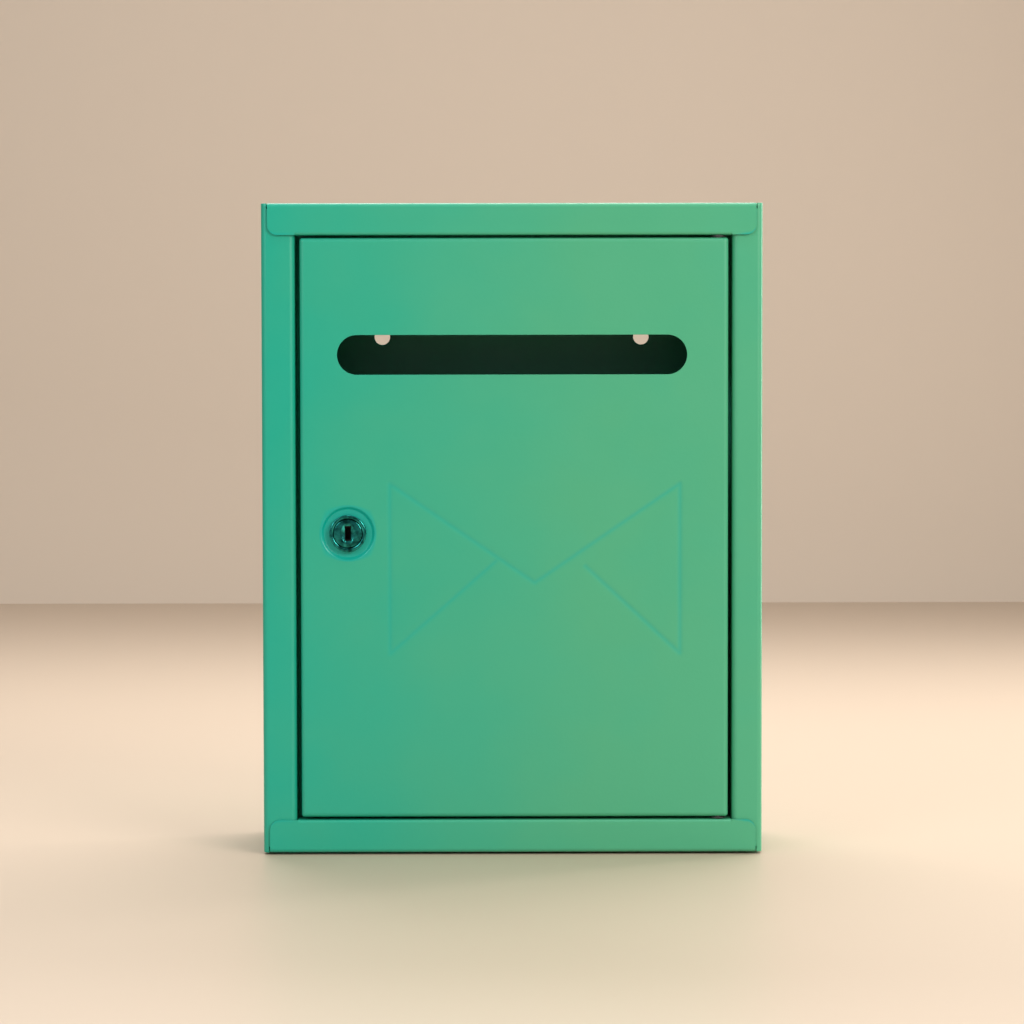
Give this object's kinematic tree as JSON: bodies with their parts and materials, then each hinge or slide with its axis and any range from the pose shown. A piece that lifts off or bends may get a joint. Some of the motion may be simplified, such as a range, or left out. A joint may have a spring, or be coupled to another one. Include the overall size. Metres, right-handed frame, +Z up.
{
  "type": "wall mounted mailbox",
  "caption": "Shallow folded-steel mailbox with a side-hinged front door, a long letter slot near its top, a small cam lock and keyhole hanging slots in its back.",
  "frame": {"origin": "middle of the base, under the centre of the whole box with its lock head", "axes": "+X to the right as seen from the door side, +Y from the door to the wall, +Z up"},
  "size_m": [0.215, 0.0712, 0.279],
  "materials": {
    "green_powder_coat": "satin sea-green powder coat on steel sheet",
    "zinc_plate": "bright zinc plate",
    "dark_nickel": "polished dark nickel plate on die-cast zinc",
    "brass": "plain stamped brass",
    "nylon": "black nylon"
  },
  "bodies": {
    "housing": {"body_wrap": "green_powder_coat", "top_cap": "green_powder_coat", "bottom_cap": "green_powder_coat", "upper_hinge_pin": "zinc_plate", "upper_hinge_washer": "nylon", "upper_hinge_clip": "zinc_plate", "lower_hinge_pin": "zinc_plate", "lower_hinge_washer": "nylon", "lower_hinge_clip": "zinc_plate"},
    "door": {"door_panel": "green_powder_coat", "lock_barrel": "dark_nickel", "toothed_washer": "zinc_plate", "lock_nut": "zinc_plate"},
    "plug": {"lock_plug": "dark_nickel", "stop_washer": "zinc_plate", "lock_cam": "zinc_plate", "spring_washer": "zinc_plate", "cam_screw": "zinc_plate"},
    "wafer_1_body": {"wafer_1": "brass"},
    "wafer_2_body": {"wafer_2": "brass"},
    "wafer_3_body": {"wafer_3": "brass"},
    "wafer_4_body": {"wafer_4": "brass"},
    "wafer_5_body": {"wafer_5": "brass"}
  },
  "joints": [
    {"name": "door_hinge", "type": "hinge", "parent": "housing", "child": "door", "pos_m": [0.0885, -0.02985, 0.13975], "axis": [0, 0, 1], "range_deg": [0, 105]},
    {"name": "lock_turn", "type": "hinge", "parent": "door", "child": "plug", "pos_m": [-0.07055, -0.03565, 0.1377], "axis": [0, 1, 0], "range_deg": [0, 90]},
    {"name": "wafer_1_slide", "type": "slide", "parent": "plug", "child": "wafer_1_body", "axis": [0, 0, 1], "range_m": [0, 0.0007]},
    {"name": "wafer_2_slide", "type": "slide", "parent": "plug", "child": "wafer_2_body", "axis": [0, 0, 1], "range_m": [0, 0.0007]},
    {"name": "wafer_3_slide", "type": "slide", "parent": "plug", "child": "wafer_3_body", "axis": [0, 0, 1], "range_m": [0, 0.0007]},
    {"name": "wafer_4_slide", "type": "slide", "parent": "plug", "child": "wafer_4_body", "axis": [0, 0, 1], "range_m": [0, 0.0007]},
    {"name": "wafer_5_slide", "type": "slide", "parent": "plug", "child": "wafer_5_body", "axis": [0, 0, 1], "range_m": [0, 0.0007]}
  ],
  "couplings": [
    {"joint": "wafer_2_slide", "follows": "wafer_1_slide", "ratio": 1},
    {"joint": "wafer_3_slide", "follows": "wafer_1_slide", "ratio": 1},
    {"joint": "wafer_4_slide", "follows": "wafer_1_slide", "ratio": 1},
    {"joint": "wafer_5_slide", "follows": "wafer_1_slide", "ratio": 1}
  ]
}
